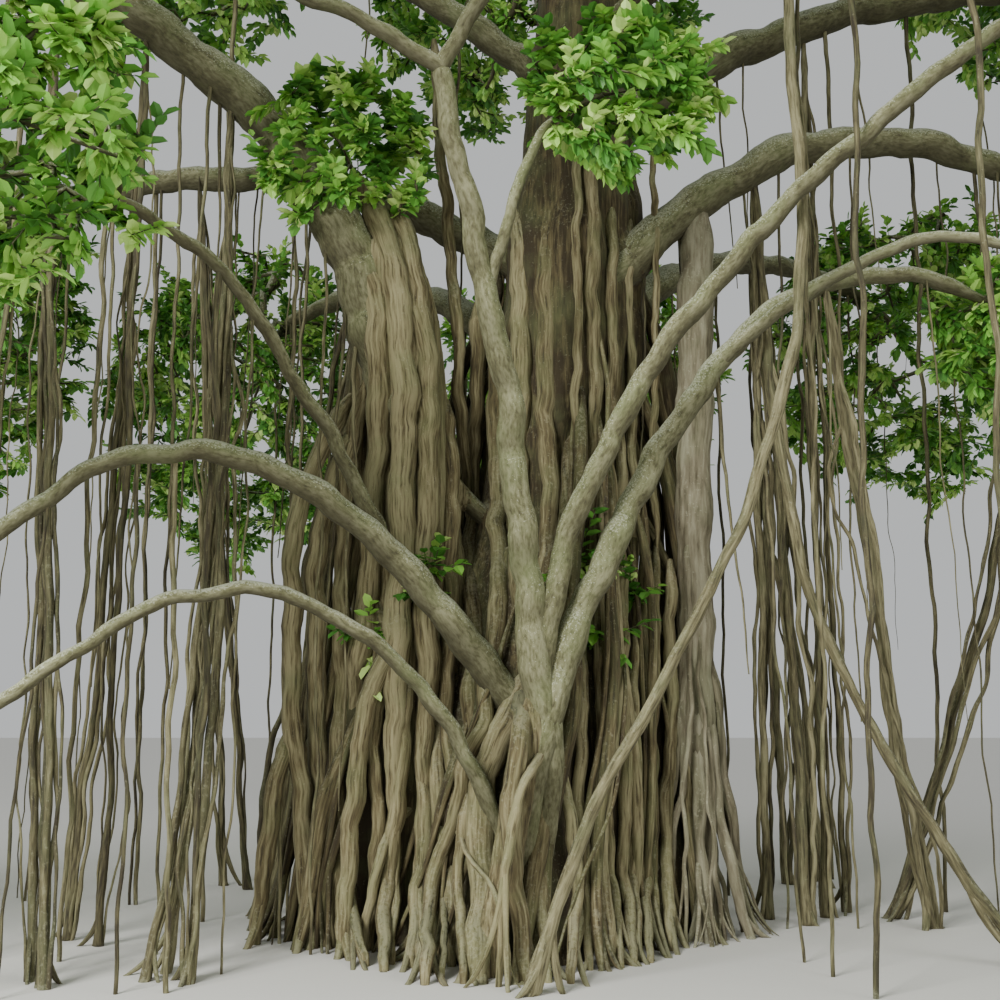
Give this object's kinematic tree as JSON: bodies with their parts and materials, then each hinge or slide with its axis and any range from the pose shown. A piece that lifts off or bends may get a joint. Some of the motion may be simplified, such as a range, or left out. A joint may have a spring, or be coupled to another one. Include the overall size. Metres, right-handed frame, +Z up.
{
  "type": "banyan tree",
  "caption": "Spreading fig tree rooted in the ground: a fluted trunk of grown-together stems and roots, arching boughs, hanging prop roots and a full leafy crown.",
  "frame": {"origin": "On the flat cut under the trunk, at ground level, in the middle of the trunk's main stem.", "axes": "+Z up, -Y towards the side that the picture shows, +X to that view's right."},
  "size_m": [15.947, 13.6816, 11.3967],
  "materials": {
    "bark": "matt grey-brown bark with pale lichen and a green algae film",
    "root_bark": "matt fibrous root bark, grey brown, darker where it is shaded",
    "foliage": "leathery evergreen leaves, satin on top"
  },
  "bodies": {
    "root": {"bough_back": "bark", "bough_back_left": "bark", "bough_back_right": "bark", "bough_front": "bark", "bough_front_high": "bark", "bough_front_left": "bark", "bough_front_right": "bark", "bough_front_side": "bark", "bough_left_arch_fall": "bark", "bough_left_arch_rise": "bark", "bough_left_back": "bark", "bough_left_high": "bark", "bough_left_low_fall": "bark", "bough_left_low_rise": "bark", "bough_left_rising": "bark", "bough_right_back": "bark", "bough_right_high": "bark", "bough_right_low": "bark", "bough_right_thin": "bark", "bough_right_top": "bark", "leader_back": "bark", "leader_left": "bark", "leader_right": "bark", "leaves_back": "foliage", "leaves_back_left": "foliage", "leaves_back_right": "foliage", "leaves_centre": "foliage", "leaves_front": "foliage", "leaves_front_left": "foliage", "leaves_front_right": "foliage", "leaves_left": "foliage", "leaves_left_back": "foliage", "leaves_left_low": "foliage", "leaves_left_near": "foliage", "leaves_left_stem": "foliage", "leaves_mid_back": "foliage", "leaves_mid_left": "foliage", "leaves_mid_right": "foliage", "leaves_right": "foliage", "leaves_right_front": "foliage", "leaves_right_high": "foliage", "leaves_right_low": "foliage", "leaves_right_thin": "foliage", "leaves_top": "foliage", "pillar_right": "root_bark", "root_pole": "root_bark", "roots_back_left": "root_bark", "roots_back_right": "root_bark", "roots_cross": "root_bark", "roots_lean_back": "root_bark", "roots_lean_front": "root_bark", "roots_left_back": "root_bark", "roots_left_front": "root_bark", "roots_left_mid": "root_bark", "roots_left_near": "root_bark", "roots_right_inner": "root_bark", "roots_right_outer": "root_bark", "roots_stem_left": "root_bark", "trunk": "bark"}
  },
  "joints": []
}
